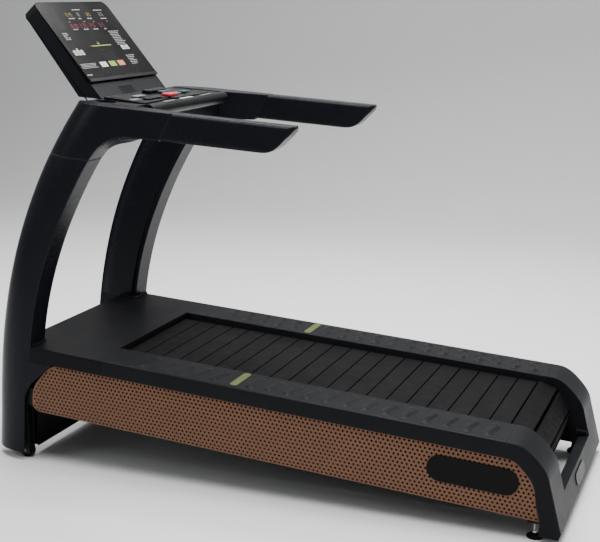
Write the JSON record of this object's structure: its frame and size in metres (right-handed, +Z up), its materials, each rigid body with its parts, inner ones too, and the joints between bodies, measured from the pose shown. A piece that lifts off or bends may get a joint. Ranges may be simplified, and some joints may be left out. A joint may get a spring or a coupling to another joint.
{
  "type": "treadmill",
  "caption": "Slat-belt treadmill: inclined belt of rubber slats between foot rails, perforated side panels, curved uprights with handrails, console and display.",
  "frame": {"origin": "middle of the footprint, on the floor", "axes": "+X forward, the way the runner faces; +Y to the runner's left; +Z up"},
  "size_m": [2.1562, 0.9, 1.697],
  "materials": {
    "frame_paint": "satin black powder coat",
    "steel": "zinc plated",
    "cast_metal": "machined and painted grey",
    "deck_roller": "nylon tyre on a ball bearing",
    "upright_shell": "satin blue-black",
    "channel_strip": "matte black",
    "rail_cover": "fine-grained charcoal",
    "hood_cover": "fine-grained charcoal",
    "step_marker": "pale yellow-green",
    "badge_plate": "blank, dark",
    "perforated_panel": "copper-bronze, punched with staggered round holes",
    "slat_rubber": "matte, finely speckled",
    "loop_rubber": "matte black",
    "console_cover": "satin blue-grey",
    "grip": "satin black",
    "display_glass": "gloss black glass look",
    "key_plate": "gloss black",
    "stop_red": "gloss red",
    "start_grey": "light grey",
    "key_teal": "teal",
    "wheel_tyre": "solid rubber"
  },
  "bodies": {
    "machine": {"arm_grip_left": "upright_shell", "arm_grip_right": "upright_shell", "arm_tubes": "frame_paint", "bearing_blocks": "cast_metal", "belt_loops": "loop_rubber", "blank_badges": "badge_plate", "console_tray": "console_cover", "cross_handle": "grip", "cross_members": "frame_paint", "cup_holders": "console_cover", "deck_rollers": "deck_roller", "display_bezel": "display_glass", "display_housing": "console_cover", "drive_belt": "loop_rubber", "end_brackets": "frame_paint", "end_cap_left": "rail_cover", "end_cap_right": "rail_cover", "fasteners": "steel", "foot_rail_left": "rail_cover", "foot_rail_right": "rail_cover", "frame_brackets": "frame_paint", "front_cover": "hood_cover", "front_hood": "hood_cover", "generator_body": "cast_metal", "generator_bracket": "frame_paint", "key_panel": "key_plate", "rear_bumper": "rail_cover", "roller_rails": "frame_paint", "shoulder_cover_left": "upright_shell", "shoulder_cover_right": "upright_shell", "side_beams": "frame_paint", "side_panel_left": "perforated_panel", "side_panel_right": "perforated_panel", "slats_front_turn": "slat_rubber", "slats_rear_turn": "slat_rubber", "slats_return": "slat_rubber", "slats_top": "slat_rubber", "step_markers": "step_marker", "upright_channel_strips": "channel_strip", "upright_columns": "frame_paint", "upright_inner_covers": "upright_shell", "upright_shell_left": "upright_shell", "upright_shell_right": "upright_shell", "vent_panel": "console_cover", "wheel_axles": "steel"},
    "front_drum": {"front_axle": "steel", "front_pulleys": "cast_metal", "drive_pulley": "cast_metal"},
    "rear_drum": {"rear_axle": "steel", "rear_pulleys": "cast_metal"},
    "generator_rotor": {"generator_shaft": "steel", "generator_pulley": "cast_metal"},
    "wheel_left": {"transport_wheel_left": "wheel_tyre"},
    "wheel_right": {"transport_wheel_right": "wheel_tyre"},
    "foot_left": {"levelling_foot_left": "steel"},
    "foot_right": {"levelling_foot_right": "steel"},
    "stop_button": {"stop_key": "stop_red"},
    "start_button": {"start_key": "start_grey"},
    "speed_button": {"speed_key": "key_teal"},
    "level_button": {"level_key": "key_teal"}
  },
  "joints": [
    {"name": "front_drum_spin", "type": "hinge", "parent": "machine", "child": "front_drum", "pos_m": [0.67674, 0, 0.29981], "axis": [0, 1, 0], "continuous": true},
    {"name": "rear_drum_spin", "type": "hinge", "parent": "machine", "child": "rear_drum", "pos_m": [-0.86836, 0, 0.18824], "axis": [0, 1, 0], "continuous": true},
    {"name": "generator_spin", "type": "hinge", "parent": "machine", "child": "generator_rotor", "pos_m": [0.86886, 0, 0.3588], "axis": [0, 1, 0], "continuous": true},
    {"name": "wheel_left_spin", "type": "hinge", "parent": "machine", "child": "wheel_left", "pos_m": [0.93933, 0.402, 0.03], "axis": [0, 1, 0], "continuous": true},
    {"name": "wheel_right_spin", "type": "hinge", "parent": "machine", "child": "wheel_right", "pos_m": [0.93933, -0.402, 0.03], "axis": [0, 1, 0], "continuous": true},
    {"name": "foot_left_screw", "type": "slide", "parent": "machine", "child": "foot_left", "axis": [0, 0, -1], "range_m": [-0.008, 0.012]},
    {"name": "foot_right_screw", "type": "slide", "parent": "machine", "child": "foot_right", "axis": [0, 0, -1], "range_m": [-0.008, 0.012]},
    {"name": "stop_press", "type": "slide", "parent": "machine", "child": "stop_button", "axis": [0.072, 0, -0.9974], "range_m": [0, 0.0035], "stiffness_N_per_m": 400, "springref_m": -0.001},
    {"name": "start_press", "type": "slide", "parent": "machine", "child": "start_button", "axis": [0.072, 0, -0.9974], "range_m": [0, 0.0015], "stiffness_N_per_m": 400, "springref_m": -0.001},
    {"name": "speed_press", "type": "slide", "parent": "machine", "child": "speed_button", "axis": [0.072, 0, -0.9974], "range_m": [0, 0.0015], "stiffness_N_per_m": 400, "springref_m": -0.001},
    {"name": "level_press", "type": "slide", "parent": "machine", "child": "level_button", "axis": [0.072, 0, -0.9974], "range_m": [0, 0.0015], "stiffness_N_per_m": 400, "springref_m": -0.001}
  ],
  "couplings": [
    {"joint": "rear_drum_spin", "follows": "front_drum_spin", "ratio": 1},
    {"joint": "generator_spin", "follows": "front_drum_spin", "ratio": 2.5833}
  ]
}
